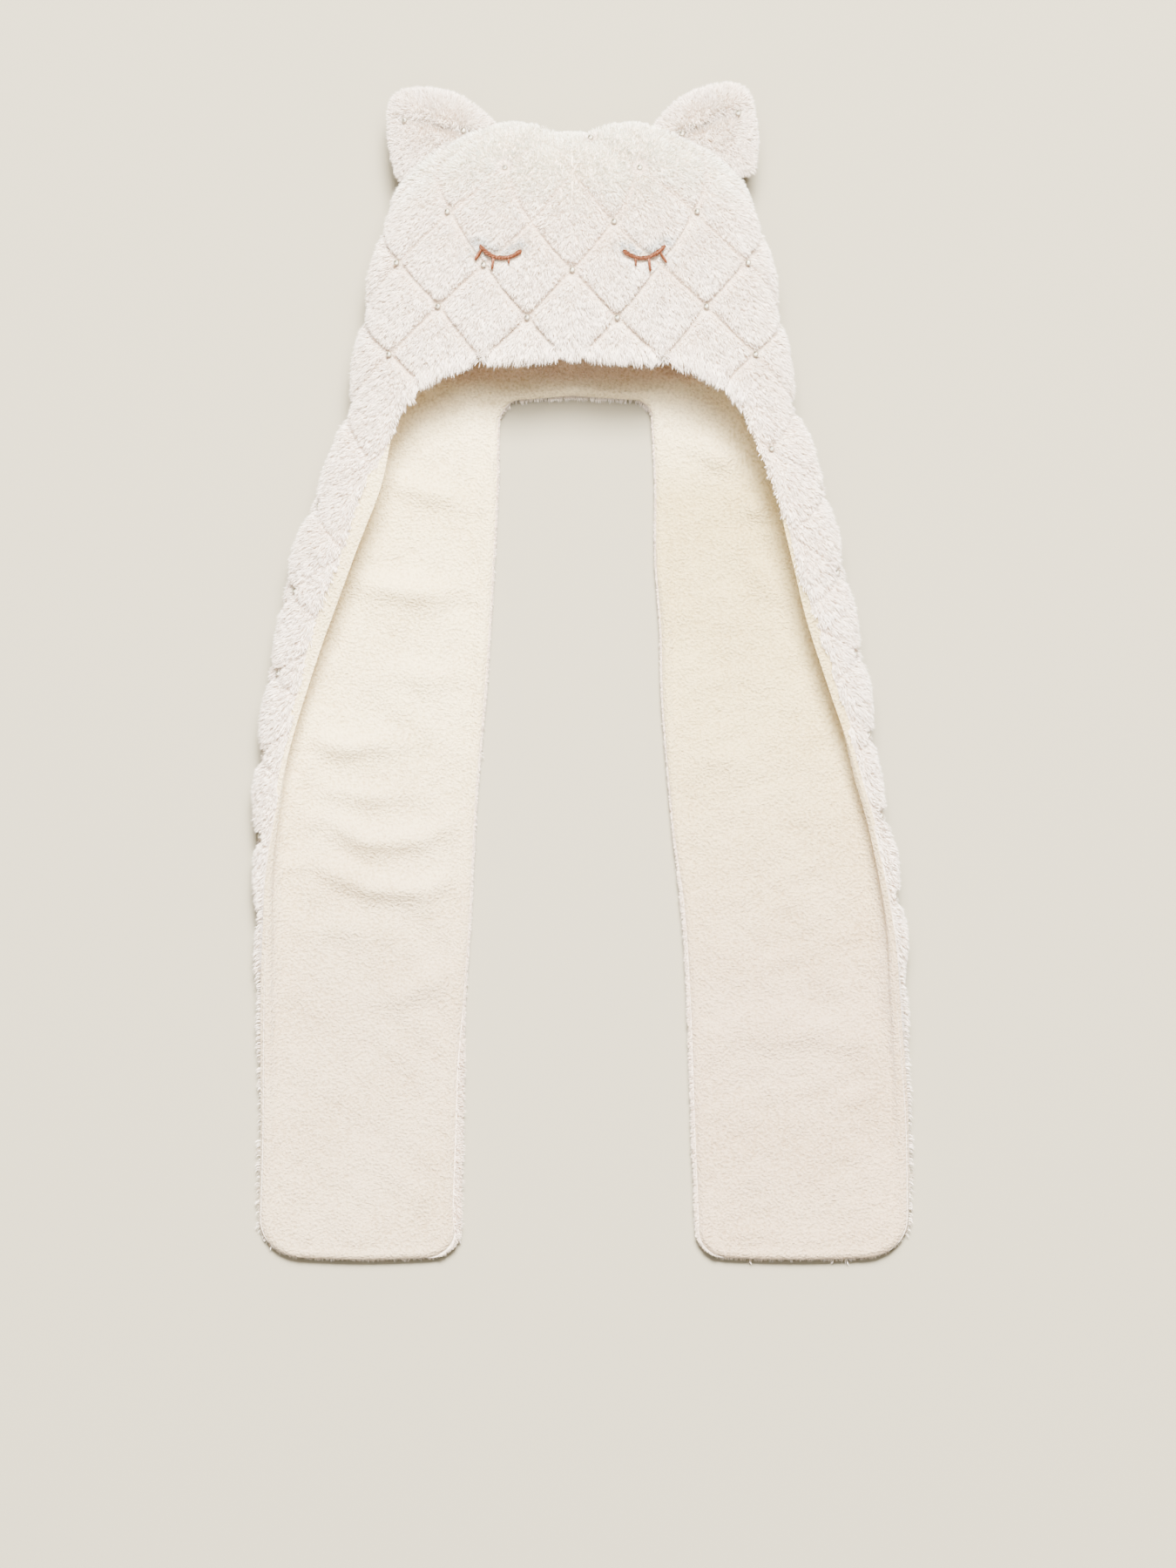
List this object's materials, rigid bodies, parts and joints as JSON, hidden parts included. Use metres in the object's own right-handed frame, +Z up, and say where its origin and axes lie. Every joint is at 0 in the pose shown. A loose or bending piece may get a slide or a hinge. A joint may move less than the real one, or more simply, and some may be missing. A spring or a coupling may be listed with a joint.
{
  "type": "animal hood scarf",
  "caption": "Quilted fur hood with cat ears and sleepy embroidered eyes, whose sides run on into long fleece-lined scarf tails, lying on its back.",
  "frame": {"origin": "under the middle of the whole scarf, on the surface it lies on", "axes": "+X to the right of someone looking down on it, +Y from the tail ends to the crown of the hood, +Z up out of the face opening"},
  "size_m": [0.4714, 0.8424, 0.0936],
  "materials": {
    "fur": "matte",
    "fleece": "matte",
    "copper_thread": "satin",
    "pearl": "gloss"
  },
  "bodies": {
    "root": {"left_fur": "fur", "right_fur": "fur", "left_lining": "fleece", "right_lining": "fleece", "left_ear": "fur", "right_ear": "fur", "left_eye": "copper_thread", "right_eye": "copper_thread", "bead_01": "pearl", "bead_02": "pearl", "bead_03": "pearl", "bead_04": "pearl", "bead_05": "pearl", "bead_06": "pearl", "bead_07": "pearl", "bead_08": "pearl", "bead_09": "pearl", "bead_10": "pearl", "bead_11": "pearl", "bead_12": "pearl", "bead_13": "pearl", "bead_14": "pearl", "bead_15": "pearl", "bead_16": "pearl", "bead_17": "pearl", "bead_18": "pearl", "bead_19": "pearl", "bead_20": "pearl", "bead_21": "pearl", "bead_22": "pearl", "bead_23": "pearl", "bead_24": "pearl", "bead_25": "pearl", "bead_26": "pearl", "bead_27": "pearl", "bead_28": "pearl", "bead_29": "pearl", "bead_30": "pearl", "bead_31": "pearl", "bead_32": "pearl", "bead_33": "pearl", "bead_34": "pearl", "bead_35": "pearl", "bead_36": "pearl", "bead_37": "pearl", "bead_38": "pearl", "bead_39": "pearl"}
  },
  "joints": []
}
